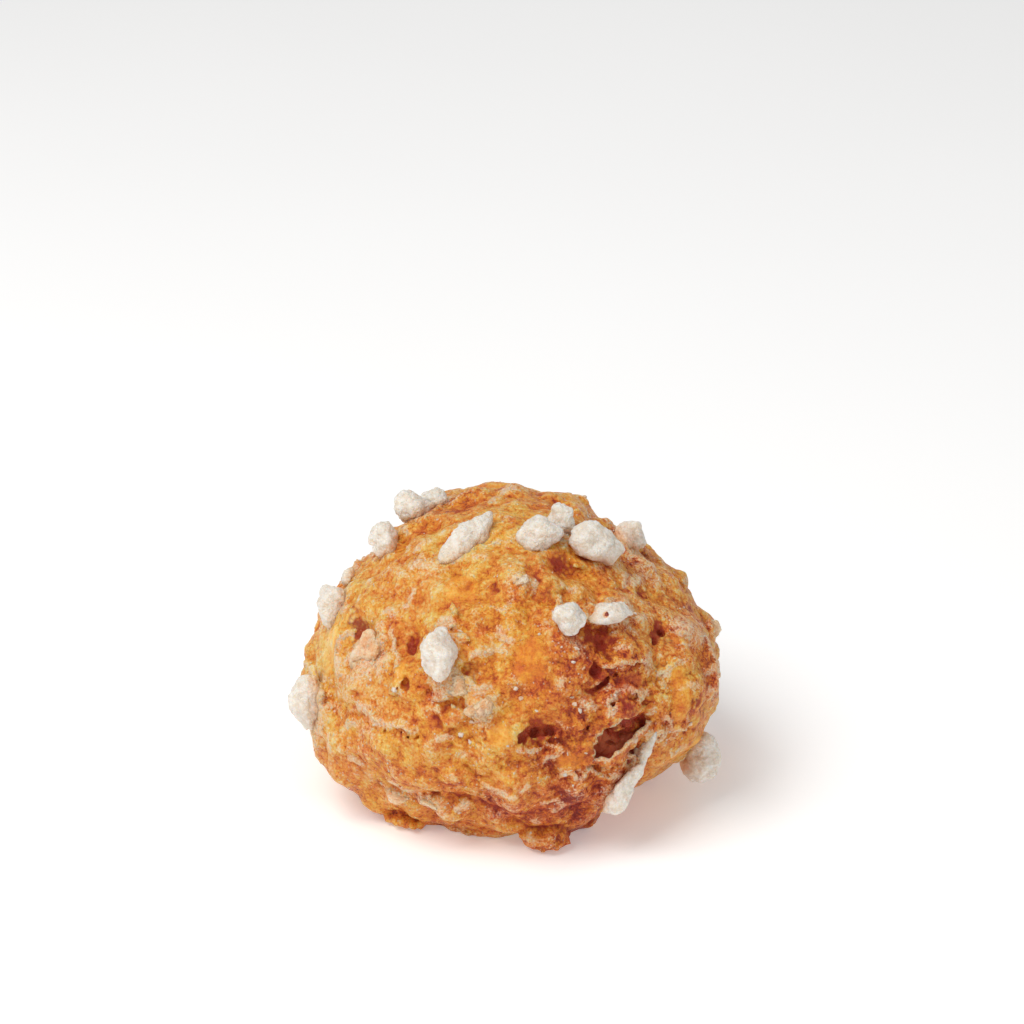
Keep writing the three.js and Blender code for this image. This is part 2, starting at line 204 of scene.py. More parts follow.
# Flakes that reach out over the torn pocket and the hollow above it: heights here are over the crust as it
# was before it sank.
LIPS = [
    ([(24.8, 6.2), (27.8, 7.4), (30.5, 8.8), (34, 9.4), (38.5, 9.6)], 1.9, 0.05),
    ([(41, 5.8), (38, 4), (34.5, 3.3), (31, 2.6), (28.5, 1.6), (26.8, -0.6), (24.6, -1)], 1.9, 0.35),
    ([(25, -1), (23.4, 1.8), (23.6, 4.5), (24.8, 6.6)], 1.5, 0.05),
    ([(27.5, 11.5), (28.5, 15), (31, 16.8), (34.5, 17.2), (37.3, 15.8), (38.8, 12)], 0.7, 0.3),
]
FROSTED_LIPS = [1, 3]  # the numbers of the lips that sugar has frosted
FLAKE_STEP = 0.14
FLAKE_THICKNESS = 0.42
LIP_THICKNESS = 0.62
FLAKE_RAGGED = (0.34, 0.26)  # how far a lip wanders, in long waves and in short ones
FLAKE_SEED = 701
LIP_SEED = 681

# Small flakes strewn over the crust.
SMALL_FLAKES = 200
SMALL_FLAKE_LENGTH = (0.9, 2.4)
SMALL_FLAKE_WIDTH = (0.5, 0.9)
SMALL_FLAKE_HEIGHT = (0.08, 0.30)
SMALL_FLAKE_LOWEST = -0.35  # the sine of the lowest rise that has them
SMALL_FLAKE_SEED = 333
# Patches where flakes crowd: the share kept there over the even share.
FLAKE_CROWDS = [(34, 8, 28, 0.7), (10, -10, 26, 0.5), (-60, 14, 22, 0.3), (150, 5, 40, 0.5)]
FLAKE_EVEN_SHARE = 0.25


# ---- Noise ----

WORD = np.uint32
SPREADERS = (374761393, 668265263, 1442695041, 1274126177)  # for x, y, z and the seed
STIRRERS = ((15, 2246822519), (13, 3266489917))  # a shift, and a factor after it


def draw(x, y, z, seed):
    """A number from -1 to 1 for each whole x, y and z, always the same for the same seed."""
    with np.errstate(over="ignore"):
        bits = WORD(seed) * WORD(SPREADERS[3])
        for whole, factor in zip((x, y, z), SPREADERS):
            bits = bits ^ (whole.astype(WORD) * WORD(factor))
        for shift, factor in STIRRERS:
            bits = (bits ^ (bits >> WORD(shift))) * WORD(factor)
        bits ^= bits >> WORD(16)
    return bits.astype(float) / 2147483647.5 - 1


def noise(points, seed):
    """Smooth unevenness from -1 to 1, with lumps about one unit apart."""
    corner = np.floor(points)
    part = points - corner
    part = part * part * (3 - 2 * part)
    i, j, k = (corner[..., axis].astype(np.int64) for axis in range(3))

    def row(dj, dk):
        start = draw(i, j + dj, k + dk, seed)
        end = draw(i + 1, j + dj, k + dk, seed)
        return start + (end - start) * part[..., 0]

    near = row(0, 0)
    near = near + (row(1, 0) - near) * part[..., 1]
    far = row(0, 1)
    far = far + (row(1, 1) - far) * part[..., 1]
    return near + (far - near) * part[..., 2]


def unit(vectors):
    """The same directions, with a length of 1."""
    return vectors / np.linalg.norm(vectors, axis=-1, keepdims=True)


def turned():
    """A turn about a slanting axis, which hides the directions of the noise's own grid."""
    x, y, z = unit(np.array([0.48, 0.62, 0.62]))
    angle = math.radians(47)
    cross = np.array([[0, -z, y], [z, 0, -x], [-y, x, 0]])
    return np.eye(3) + math.sin(angle) * cross + (1 - math.cos(angle)) * cross @ cross


TURNED = turned()


def rough(points, span, seed):
    """Unevenness from about -1 to 1, span apart, with no direction of its own."""
    first = noise(points / span, seed)
    second = noise(points @ TURNED / (span * 0.83), seed + 500)
    return 0.72 * (first + second)


def shifted(points, span, reach, seed):
    """The points moved about by up to reach, so that patterns made from them are irregular."""
    return points + reach * np.stack([noise(points / span, seed + axis) for axis in range(3)], -1)


def crumbs(points, span, seed):
    """Rounded crumbs about span across: how high each point is, 1 on a top and 0 in the valleys, and how far
    it is from the nearest valley, in spans."""
    scaled = points / span
    cell = np.floor(scaled).astype(np.int64)
    nearest = np.full(len(points), 9.0)
    second = np.full(len(points), 9.0)
    for step in itertools.product((-1, 0, 1), repeat=3):
        x, y, z = (cell[:, axis] + step[axis] for axis in range(3))
        away = np.zeros(len(points))
        for axis, start in enumerate((x, y, z)):
            middle = start + 0.5 + 0.42 * draw(x, y, z, seed + 7 * axis)
            away += (scaled[:, axis] - middle) ** 2
        second = np.minimum(second, np.maximum(nearest, away))
        np.minimum(nearest, away, out=nearest)
    return np.clip(1 - nearest / 0.72, 0, 1), np.sqrt(second) - np.sqrt(nearest)


# ---- The form ----

def direction(turn, rise):
    """The unit vector from the middle of the bun towards a place."""
    turn, rise = math.radians(turn), math.radians(rise)
    level = math.cos(rise)
    return np.array([math.sin(turn) * level, -math.cos(turn) * level, math.sin(rise)])


def egg_radius(out):
    high = np.where(out[:, 2] > 0, DOME_HEIGHT, BOWL_DEPTH)
    flat = (out[:, 0] / HALF_WIDTH) ** 2 + (out[:, 1] / HALF_DEPTH) ** 2
    return 1 / np.sqrt(flat + (out[:, 2] / high) ** 2)


def angle_from(out, place):
    return np.arccos(np.clip(out @ direction(*place), -1, 1))


def bump(out, turn, rise, reach):
    """1 at a place, fading to nothing over a reach in degrees."""
    return np.exp(-(np.degrees(angle_from(out, (turn, rise))) / reach) ** 2)


def angle_from_fold(out, start, end):
    """The angle from the arc between two places."""
    first, last = direction(*start), direction(*end)
    pole = unit(np.cross(first, last))
    along = np.cross(pole, first)
    turn = np.arctan2(out @ along, out @ first)
    turn = np.clip(turn, 0, math.acos(first @ last))[:, None]
    nearest = first * np.cos(turn) + along * np.sin(turn)
    return np.arccos(np.clip((out * nearest).sum(1), -1, 1))


def whole_radius(out):
    """The crust with its swellings and crags, before anything sank or tore."""
    egg = egg_radius(out)
    radius = egg.copy()
    for turn, rise, reach, height in SWELLS:
        radius += height * bump(out, turn, rise, reach)
    for span, height, seed, folded in CRAGS:
        lumps = noise(out * (egg / span)[:, None], seed)
        radius += height * (2 * np.abs(lumps) - 0.5 if folded else lumps)
    return radius


def crust_radius(out):
    egg = egg_radius(out)
    radius = whole_radius(out)
    for turn, rise, reach, depth in PITS:
        radius -= depth * np.exp(-(angle_from(out, (turn, rise)) * egg / reach) ** 2)
    for start, end, width, depth in CREASES:
        radius -= depth * np.exp(-(angle_from_fold(out, start, end) * egg / width) ** 2)
    return radius


def crust_point(turn, rise, above=0.0):
    out = direction(turn, rise)
    return CENTRE + out * (crust_radius(out[None])[0] + above)


def place_axes(turn, rise, lean):
    """Along, across and outwards at a place, with along turned from level by lean."""
    out = direction(turn, rise)
    level = np.array([math.cos(math.radians(turn)), math.sin(math.radians(turn)), 0.0])
    up = np.cross(out, level)
    along = level * math.cos(math.radians(lean)) + up * math.sin(math.radians(lean))
    return np.array([along, np.cross(out, along), out])


def ease(low, high, value):
    """0 below low, 1 above high, and smooth between them."""
    part = np.clip((value - low) / (high - low), 0, 1)
    return part * part * (3 - 2 * part)


def patches(out, table):
    """The sum of soft patches."""
    total = np.zeros(len(out))
    for turn, rise, reach, amount in table:
        total += amount * bump(out, turn, rise, reach)
    return total


def blister_share(out):
    """1 on the smooth blisters and 0 off them, and the height that they stand up."""
    share = np.zeros(len(out))
    swell = np.zeros(len(out))
    uneven = 0.22 * noise(out * 18, 481) + 0.10 * noise(out * 45, 482)
    for turn, rise, along, across, lean, height in BLISTERS:
        axes = place_axes(turn, rise, lean)
        local = np.degrees(out @ axes.T) / np.array([along, across, 1.0])
        away = np.where(local[:, 2] > 0, np.hypot(local[:, 0], local[:, 1]) + uneven, 9.0)
        share = np.maximum(share, 1 - ease(0.80, 1.05, away))
        swell += height * (1 - ease(0.3, 1.3, away))
    return share, swell


def crumb_layers(points):
    """Crumbs that the crust is broken into: heights of the large and the small, and valleys."""
    loose = shifted(shifted(points, 2.6, 0.9, 401), 0.8, 0.25, 406)
    large, valley = crumbs(loose, CRUMB_SPANS[0], 421)
    small, _ = crumbs(loose, CRUMB_SPANS[1], 431)
    return large, small, valley


def fine_relief(points, out):
    """Crumbs, lumps, cracks and ledges of the baked crust, in mm outwards."""
    calm, swell = blister_share(out)
    low = ease(2, -14, points[:, 2] - CENTRE_HEIGHT)
    large, small, valley = crumb_layers(points)
    uneven = LUMP_HEIGHT * rough(points, 1.9, 411)
    uneven += CRUMB_HEIGHTS[0] * (large - MEAN_CRUMB) + CRUMB_HEIGHTS[1] * (small - MEAN_CRUMB)
    grit = GRIT_HEIGHT * rough(points, 0.5, 441)

    torn = np.clip(patches(out, TORN), 0, 1)
    cracked = ease(0.1, 0.8, rough(points, 5.0, 471) + torn)
    uneven += -CRACK_DEPTH * cracked * (1 - ease(0.02, 0.16, valley))

    level = points[:, 2] / LEDGE_SPAN + 1.1 * noise(points / 3.4, 451) + 0.5 * noise(points / 1.4, 452)
    step = level - np.floor(level)
    uneven += LEDGE_HEIGHT * torn * (ease(0, 0.85, step) * ease(1.0, 0.88, step) - 0.4)

    uneven += LEVEL_STREAK_HEIGHT * low * rough(points * np.array([0.35, 0.35, 1.0]), 1.0, 461)
    upright = np.clip(patches(out, UPRIGHT), 0, 1)
    uneven += TALL_STREAK_HEIGHT * upright * rough(points * np.array([1.0, 1.0, 0.35]), 1.1, 466)
    return CRUST_DROP + swell + (1 - 0.85 * calm) * uneven + (1 - 0.6 * calm) * grit


# ---- The sugar's places ----

def mix(pair, share):
    return pair[0] + (pair[1] - pair[0]) * share


def back_grain(index):
    def value(seed):
        return float(draw(np.array([index]), np.array([0]), np.array([0]), seed)[0])

    def between(pair, seed):
        return mix(pair, 0.5 + 0.5 * value(seed))

    turn = mix(BACK_TURN, (index * GOLDEN_ANGLE % 360) / 360) + BACK_SCATTER * value(BACK_SEED)
    sine = mix(BACK_SINE, (index + 0.5) / BACK_COUNT)
    rise = math.degrees(math.asin(sine)) + BACK_SCATTER * value(BACK_SEED + 1)
    long = between(BACK_LONG, BACK_SEED + 2)
    wide = long * between(BACK_WIDE, BACK_SEED + 3)
    thick = long * between(BACK_THICK, BACK_SEED + 4)
    lean = 90 * value(BACK_SEED + 5)
    sunk = between(BACK_SUNK, BACK_SEED + 6)
    melted = max(0.0, value(BACK_SEED + 7))
    return (turn, rise, long, wide, thick, lean, sunk, melted)


def all_grains():
    bare_turn, bare_rise, bare_angle = BACK_BARE
    bare = direction(bare_turn, bare_rise)
    back = [back_grain(index) for index in range(BACK_COUNT)]
    shown = [g for g in back if math.degrees(math.acos(direction(g[0], g[1]) @ bare)) > bare_angle]
    return FRONT_GRAINS + shown


GRAINS = all_grains()


# ---- The grid of distances ----

class Grid:
    """Distances to the surface at the corners of small cubes: below 0 inside."""

    def __init__(self):
        self.low = np.array(GRID_LOW)
        self.counts = np.ceil((np.array(GRID_HIGH) - self.low) / VOXEL).astype(int)
        steps = np.indices(self.counts).reshape(3, -1).T
        self.points = self.low + steps * VOXEL
        offset = self.points - CENTRE
        away = np.linalg.norm(offset, axis=1)
        out = offset / np.maximum(away, 1e-6)[:, None]
        rough_gap = away - egg_radius(out)
        near = np.abs(rough_gap) < DEEPEST
        gap = np.sign(rough_gap) * BAND
        gap[near] = away[near] - crust_radius(out[near])
        band = near & (np.abs(gap) < BAND)
        gap[band] -= fine_relief(self.points[band], out[band])
        self.gap = np.clip(gap, -BAND, BAND).reshape(self.counts)
        self.points = self.points.reshape(*self.counts, 3)

    def oval(self, middle, axes, half, unevenness, seed):
        """The part of the grid round an uneven ellipsoid, and the distances to it there."""
        reach = max(half) + 1.0
        first = np.floor((middle - reach - self.low) / VOXEL).astype(int)
        last = np.ceil((middle + reach - self.low) / VOXEL).astype(int) + 1
        first = np.clip(first, 0, self.counts)
        last = np.clip(last, 0, self.counts)
        part = tuple(slice(a, b) for a, b in zip(first, last))
        local = (self.points[part] - middle) @ axes.T / half
        length = np.linalg.norm(local, axis=-1)
        uneven = noise(self.points[part] / 0.9, seed) + 0.5 * noise(self.points[part] / 0.5, seed + 1)
        return part, (length - 1) * min(half) + unevenness * uneven

    def carve(self, *shape):
        part, gap = self.oval(*shape)
        self.gap[part] = np.maximum(self.gap[part], -gap)

    def grow(self, *shape, blend=0.0):
        """Adds an uneven ellipsoid. blend rounds the corner where it meets the crust."""
        part, gap = self.oval(*shape)
        here = self.gap[part]
        if blend:
            share = np.clip(0.5 + 0.5 * (here - gap) / blend, 0, 1)
            self.gap[part] = here + (gap - here) * share - blend * share * (1 - share)
        else:
            self.gap[part] = np.minimum(here, gap)

    def surface(self):
        """The corners and four-sided faces of the surface, cut flat at the base."""
        gap = np.maximum(self.gap, FLAT_BASE - self.points[..., 2])
        grid = openvdb.FloatGrid(BAND)
        grid.copyFromArray(np.ascontiguousarray(gap, dtype=np.float32))
        corners, quads = grid.convertToQuads(isovalue=0.0)
        return corners * VOXEL + self.low, quads


def lip_path(places, radius_at):
    """Points close together along a lip, and at each the ways outwards, along and to the root."""
    outs = []
    for (turn_a, rise_a), (turn_b, rise_b) in zip(places, places[1:]):
        first = direction(turn_a, rise_a)
        last = direction(turn_b, rise_b)
        count = max(2, int(np.linalg.norm(last - first) * HALF_WIDTH / FLAKE_STEP))
        for step in range(count):
            share = step / count
            outs.append(direction(turn_a + (turn_b - turn_a) * share, rise_a + (rise_b - rise_a) * share))
    outs = np.array(outs)
    points = CENTRE + outs * (radius_at(outs) + CRUST_DROP)[:, None]
    ways = np.gradient(points, axis=0)
    ways = unit(ways - (ways * outs).sum(1)[:, None] * outs)
    return points, outs, ways, np.cross(outs, ways)


def grow_flake(grid, places, width, height, seed, radius_at, thickness):
    """A thin flake with its lip above the crust and its root sunk in it. Returns the lip's points."""
    points, outs, ways, roots = lip_path(places, radius_at)
    heights = height * (1 + 0.5 * noise(points / 0.9, seed))
    widths = width * (1 + 0.35 * noise(points / 1.3, seed + 1))
    ends = np.minimum(np.arange(len(points)), np.arange(len(points))[::-1])
    heights *= ease(-1, 5, ends)
    long_waves, short_waves = FLAKE_RAGGED
    drift = long_waves * noise(points / 1.1, seed + 2) + short_waves * noise(points / 0.42, seed + 3)
    lips = points + outs * heights[:, None] + roots * drift[:, None]
    for lip, out, way, root, rise, reach in zip(lips, outs, ways, roots, heights, widths):
        slope = root * reach - out * (rise + 0.35)
        length = np.linalg.norm(slope)
        slope /= length
        axes = np.array([way, slope, np.cross(way, slope)])
        half = np.array([0.35, length / 2, thickness / 2])
        grid.grow(lip + slope * length / 2, axes, half, 0.15 * thickness, seed + 4)
    return lips


def strewn_flakes():
    """Places, widths and heights of the small flakes."""
    rng = np.random.default_rng(SMALL_FLAKE_SEED)
    flakes = []
    while len(flakes) < SMALL_FLAKES:
        out = unit(rng.normal(size=3))
        share = FLAKE_EVEN_SHARE + patches(out[None], FLAKE_CROWDS)[0]
        if out[2] < SMALL_FLAKE_LOWEST or rng.random() > share:
            continue
        turn = math.degrees(math.atan2(out[0], -out[1]))
        rise = math.degrees(math.asin(out[2]))
        lean = math.radians(rng.normal(0, 35) + (180 if rng.random() < 0.35 else 0))
        reach = math.degrees(rng.uniform(*SMALL_FLAKE_LENGTH) / 2 / egg_radius(out[None])[0])
        sideways = reach * math.cos(lean) / max(0.3, math.cos(math.radians(rise)))
        upwards = reach * math.sin(lean)
        bend = rng.uniform(-0.4, 0.4) * reach
        places = [
            (turn - sideways, rise - upwards),
            (turn - bend * math.sin(lean), rise + bend * math.cos(lean)),
            (turn + sideways, rise + upwards),
        ]
        flakes.append((places, rng.uniform(*SMALL_FLAKE_WIDTH), rng.uniform(*SMALL_FLAKE_HEIGHT)))
    return flakes


def grow_skirts(grid):
    """The crust rises a little round each grain, where melted sugar ran into it."""
    for index, (turn, rise, long, wide, thick, lean, sunk, melted) in enumerate(GRAINS):
        if sunk < LEAST_SUNK:
            continue
        axes = place_axes(turn, rise, lean)
        half = np.array([0.52 * long, 0.54 * wide, 0.35 + 0.25 * melted])
        grid.grow(crust_point(turn, rise, CRUST_DROP), axes, half, 0.25, SKIRT_SEED + index, blend=0.5)


def largest_piece(corners, faces):
    """The corners and faces of the connected piece that has the most corners."""
    label = np.arange(len(corners))
    settled = False
    while not settled:
        lower = label.copy()
        least = np.repeat(label[faces].min(1), faces.shape[1])
        np.minimum.at(lower, faces.ravel(), least)
        lower = lower[lower]
        settled = (lower == label).all()
        label = lower
    kept = label == np.bincount(label).argmax()
    place = np.cumsum(kept) - 1
    return corners[kept], place[faces[kept[faces[:, 0]]]]


def grown_crust():
    """The crust's corners and four-sided faces, and the points of each lip, those of the pocket first."""
    grid = Grid()
    for at, half, seed in DRIPS:
        grid.grow(np.array(at), np.eye(3), np.array(half), 0.35, seed, blend=0.4)
    grow_skirts(grid)
    for turn, rise, depth, along, across, inwards, lean in FILLINGS:
        out = direction(turn, rise)
        middle = CENTRE + out * (whole_radius(out[None])[0] - depth - inwards)
        half = np.array([along, across, inwards])
        grid.grow(middle, place_axes(turn, rise, lean), half, 0.5, FILLING_SEED)
    lips = []
    for index, lip in enumerate(LIPS):
        lips.append(grow_flake(grid, *lip, LIP_SEED + 5 * index, whole_radius, LIP_THICKNESS))
    for index, flake in enumerate(FLAKES + strewn_flakes()):
        lips.append(grow_flake(grid, *flake, FLAKE_SEED + 5 * index, crust_radius, FLAKE_THICKNESS))
    for turn, rise, depth, along, across, inwards, lean in TEARS:
        middle = crust_point(turn, rise, CRUST_DROP - depth)
        half = np.array([along, across, inwards])
        grid.carve(middle, place_axes(turn, rise, lean), half, TEAR_UNEVENNESS, TEAR_SEED)
    corners, quads = largest_piece(*grid.surface())
    return corners, quads, lips


# ---- Meshes ----

def smooth_faces(mesh):
    mesh.polygons.foreach_set("use_smooth", np.ones(len(mesh.polygons), dtype=bool))


def make_mesh(name, corners, faces):
    """A Blender object from corners in mm and faces of one size."""
    count, sides = faces.shape
    mesh = bpy.data.meshes.new(name)
    mesh.vertices.add(len(corners))
    mesh.vertices.foreach_set("co", (corners * MM).astype(np.float32).ravel())
    mesh.loops.add(count * sides)
    mesh.loops.foreach_set("vertex_index", faces.astype(np.int32).ravel())
    mesh.polygons.add(count)
    mesh.polygons.foreach_set("loop_start", np.arange(0, count * sides, sides, dtype=np.int32))
    mesh.update(calc_edges=True)
    mesh.validate()
    smooth_faces(mesh)
    piece = bpy.data.objects.new(name, mesh)
    bpy.context.scene.collection.objects.link(piece)
    return piece


def keep_triangles(piece, most):
    """Takes out the points that matter least until the piece has so many triangles."""
    triangles = sum(len(face.vertices) - 2 for face in piece.data.polygons)
    if triangles <= most:
        return
    fewer = piece.modifiers.new("fewer", "DECIMATE")
    fewer.ratio = most / triangles
    bpy.context.view_layer.update()
    evaluated = piece.evaluated_get(bpy.context.evaluated_depsgraph_get())
    mesh = bpy.data.meshes.new_from_object(evaluated)
    piece.modifiers.clear()
    piece.data = mesh
    smooth_faces(mesh)


def set_values(piece, **stored):
    """Stores a value at each point of the piece under each name."""
    for name, values in stored.items():
        attribute = piece.data.attributes.new(name, "FLOAT", "POINT")
        attribute.data.foreach_set("value", np.asarray(values, dtype=np.float32))


def read_rows(items, name, width, kind=np.float32):
    """One row for each item of a mesh, with its value of that name."""
    values = np.empty(len(items) * width, kind)
    items.foreach_get(name, values)
    return values.reshape(-1, width)


def corners_of(piece):
    return read_rows(piece.data.vertices, "co", 3).astype(float) / MM


def normals_of(piece):
    return read_rows(piece.data.vertex_normals, "vector", 3).astype(float)


def smoothed(values, edges, rounds):
    """Each point's values after so many rounds of taking the mean of its neighbours."""
    count = len(values)
    ends = np.concatenate([edges[:, 0], edges[:, 1]])
    others = np.concatenate([edges[:, 1], edges[:, 0]])
    degree = np.maximum(np.bincount(ends, minlength=count), 1)
    for _ in range(rounds):
        columns = [np.bincount(ends, column[others], count) / degree for column in values.T]
        values = np.stack(columns, 1)
    return values


# ---- Colours and materials ----

def linear(red, green, blue):
    """A colour as seen on a screen, 0 to 255, as the shader's linear values."""
    shares = [value / 255 for value in (red, green, blue)]
    return tuple(s / 12.92 if s <= 0.04045 else ((s + 0.055) / 1.055) ** 2.4 for s in shares) + (1.0,)


class Nodes:
    """Short ways to make a material. A value is a number, a tuple or another node's output."""

    def __init__(self, name):
        self.material = bpy.data.materials.new(name)
        self.material.use_nodes = True
        self.tree = self.material.node_tree
        self.place = self.add("TexCoord").outputs["Object"]

    def put(self, values, sockets):
        for name, value in values.items():
            if isinstance(value, (int, float, tuple)):
                sockets[name].default_value = value
            else:
                self.tree.links.new(value, sockets[name])

    def add(self, kind, values=None, **settings):
        """A new node of a kind, with its settings and the values of its inputs."""
        node = self.tree.nodes.new("ShaderNode" + kind)
        for name, setting in settings.items():
            setattr(node, name, setting)
        self.put(values or {}, node.inputs)
        return node

    def finished(self, values):
        """The material, with these values in its main shader."""
        self.put(values, self.tree.nodes["Principled BSDF"].inputs)
        return self.material

    def math(self, operation, *values, clamp=False):
        return self.add("Math", dict(enumerate(values)), operation=operation, use_clamp=clamp).outputs[0]

    def times(self, first, second):
        return self.math("MULTIPLY", first, second)

    def plus(self, total, *parts):
        """total and (value - middle) * share of each part, which is value, share and middle."""
        for value, share, middle in parts:
            if middle:
                value = self.math("SUBTRACT", value, middle)
            total = self.math("MULTIPLY_ADD", value, share, total)
        return total

    def stored(self, name):
        return self.add("Attribute", attribute_name=name).outputs["Fac"]

    def grain(self, scale, detail, roughness=0.55, distortion=0.0):
        """Noise about 0.5; scale is in turns for each metre."""
        values = {"Scale": scale, "Detail": detail, "Roughness": roughness, "Distortion": distortion}
        return self.add("TexNoise", {"Vector": self.place, **values}).outputs["Fac"]

    def cells(self, scale):
        """Scattered cells: the distance from their middles, and a number from 0 to 1 for each cell."""
        node = self.add("TexVoronoi", {"Vector": self.place, "Scale": scale})
        parts = self.add("SeparateColor", {"Color": node.outputs["Color"]})
        return node.outputs["Distance"], parts.outputs["Red"]

    def spread(self, value, low, high, to_low=0, to_high=1):
        """A value between low and high as one between two others, smooth and held at both ends."""
        values = {"Value": value, "From Min": low, "From Max": high, "To Min": to_low, "To Max": to_high}
        return self.add("MapRange", values, interpolation_type="SMOOTHSTEP").outputs["Result"]

    def ramp(self, value, stops):
        node = self.add("ValToRGB", {"Fac": value})
        elements = node.color_ramp.elements
        while len(elements) < len(stops):
            elements.new(0.5)
        for element, (position, *colour) in zip(elements, stops):
            element.position = position
            element.color = linear(*colour)
        return node.outputs["Color"]

    def mix(self, share, first, second):
        return self.add("Mix", {"Factor": share, "A": first, "B": second}, data_type="RGBA").outputs["Result"]

    def relief(self, height, distance, strength=1.0, under=None):
        values = {"Height": height, "Distance": distance, "Strength": strength}
        if under is not None:
            values["Normal"] = under
        return self.add("Bump", values).outputs["Normal"]


# Crust colours from the darkest hollow to the palest edge, where it is orange and where it is yellow: place
# on that scale, red, green, blue.
CRUST_TONES = [
    (0, 142, 38, 24), (0.14, 188, 74, 30), (0.3, 220, 112, 40), (0.46, 236, 144, 54), (0.6, 242, 170, 78),
    (0.76, 245, 198, 124), (1, 248, 224, 186),
]
YELLOW_TONES = [
    (0, 154, 52, 20), (0.3, 224, 126, 36), (0.5, 242, 168, 58), (0.72, 247, 204, 110), (1, 250, 231, 176),
]
RED_COLOUR = linear(166, 48, 30)
POCKET_LIGHT_COLOUR = linear(255, 146, 104)  # painted light in the torn pocket: a paler red that lifts the shade far inside it
BLOOM_COLOUR = linear(251, 224, 194)
BLOOM_SHADE = linear(243, 182, 128)
SPECK_COLOUR = linear(250, 234, 212)
SUGAR_WHITES = (linear(228, 215, 199), linear(241, 235, 226))
SOAKED_SUGAR = (linear(230, 162, 104), linear(242, 202, 160))
FLOOR_WHITES = ((0.93, 0.93, 0.93, 1.0), (0.95, 0.95, 0.95, 1.0))
WHITE = (1.0, 1.0, 1.0, 1.0)
FLOOR_GLOW = 0.22


def crust_material():
    nodes = Nodes("baked_crust")
    tone, yellow, bloom, blister, red = map(nodes.stored, ("tone", "yellow", "bloom", "blister", "red"))
    broad = nodes.grain(420, 4, 0.6, 0.5)
    middle = nodes.grain(1100, 4, 0.62, 0.8)
    small = nodes.grain(4000, 3, 0.68)
    crumb, crumb_number = nodes.cells(1900)
    calm = nodes.spread(blister, 0.2, 0.9, 1, 0.5)

    change = nodes.plus(0, (broad, 0.3, 0.5), (middle, 0.55, 0.5), (small, 1.2, 0.5))
    # painted shade: darker towards the borders between crumbs
    change = nodes.plus(change, (crumb, -0.34, 0.4), (crumb_number, 0.16, 0.5))
    change = nodes.times(change, nodes.times(calm, nodes.stored("crisp")))
    tone = nodes.math("ADD", nodes.plus(tone, (blister, -0.05, 0)), change, clamp=True)
    hue = nodes.plus(yellow, (nodes.grain(640, 3, 0.6, 0.6), 2.6, 0.5))
    tones = nodes.ramp(tone, CRUST_TONES), nodes.ramp(tone, YELLOW_TONES)
    colour = nodes.mix(nodes.spread(hue, 0.2, 0.9), *tones)

    # Dark red of the tears, with painted shade: redder between crumbs and wherever the red attribute carries
    # shade.
    stain_and_painted_shade = nodes.plus(red, (middle, 1.8, 0.5), (small, 1.4, 0.5), (crumb, 0.8, 0.45))
    stain_and_painted_shade = nodes.times(nodes.spread(stain_and_painted_shade, 0.35, 1.15), 0.88)
    # painted light: far down in the torn pocket the red is paler, lifting the shade there
    colour = nodes.mix(stain_and_painted_shade, colour, nodes.mix(nodes.stored("deep"), RED_COLOUR, POCKET_LIGHT_COLOUR))

    frost = nodes.plus(bloom, (middle, 1.1, 0.5), (small, 1.3, 0.5))
    frost = nodes.times(nodes.spread(frost, 0.4, 1.05), 0.8)
    colour = nodes.mix(frost, colour, nodes.mix(nodes.spread(small, 0.38, 0.62), BLOOM_SHADE, BLOOM_COLOUR))

    dot, dot_number = nodes.cells(3300)
    chance = nodes.plus(dot_number, (bloom, 0.7, 0), (red, -0.3, 0))
    speck = nodes.times(nodes.spread(dot, 0.5, 0.22), nodes.spread(chance, 1, 1.15))
    speck = nodes.times(speck, nodes.spread(small, 0.4, 0.58, 0.1, 0.75))
    speck = nodes.times(speck, calm)
    colour = nodes.mix(speck, colour, SPECK_COLOUR)

    height = nodes.plus(0, (middle, 0.9, 0), (crumb, -0.6, 0), (small, 0.9, 0), (speck, 0.45, 0))
    normal = nodes.relief(nodes.times(height, calm), 0.00028)
    normal = nodes.relief(nodes.grain(6500, 2, 0.6), 0.00016, 0.9, normal)
    return nodes.finished({
        "Base Color": colour,
        "Roughness": nodes.spread(middle, 0.35, 0.7, 0.24, 0.56),
        "Specular IOR Level": 0.36,
        "Subsurface Weight": 0.3,
        "Subsurface Radius": (1.0, 0.42, 0.14),
        "Subsurface Scale": 0.0013,
        "Normal": normal,
    })


def sugar_material(name, depth):
    """White sugar that light enters by so many metres."""
    nodes = Nodes(name)
    melt = nodes.stored("melt")
    speck = nodes.grain(1500, 3, 0.6)
    fine = nodes.grain(4200, 2, 0.6)
    shade = nodes.spread(speck, 0.35, 0.65)
    white = nodes.mix(shade, *SUGAR_WHITES)
    soaked = nodes.mix(nodes.spread(melt, 2, 3), nodes.mix(shade, *SOAKED_SUGAR), RED_COLOUR)
    share = nodes.plus(nodes.stored("soak"), (speck, 1, 0.5), (melt, 0.62, 0), (fine, 0.8, 0.5))
    grit, _ = nodes.cells(3000)
    height = nodes.plus(0, (fine, 0.9, 0), (grit, -0.8, 0))
    return nodes.finished({
        "Base Color": nodes.mix(nodes.spread(share, 0.25, 1.15, 0, 0.88), white, soaked),
        "Roughness": 0.5,
        "Specular IOR Level": 0.35,
        "Subsurface Weight": 0.85 if depth else 0,
        "Subsurface Radius": (1.0, 0.84, 0.68),
        "Subsurface Scale": depth,
        "Normal": nodes.relief(height, 0.00022),
    })


def floor_material():
    nodes = Nodes("floor_white")
    return nodes.finished({
        "Base Color": nodes.mix(nodes.spread(nodes.grain(6, 2), 0.3, 0.7), *FLOOR_WHITES),
        "Roughness": 0.9,
        "Specular IOR Level": 0.1,
        "Emission Color": WHITE,
        "Emission Strength": FLOOR_GLOW,
    })
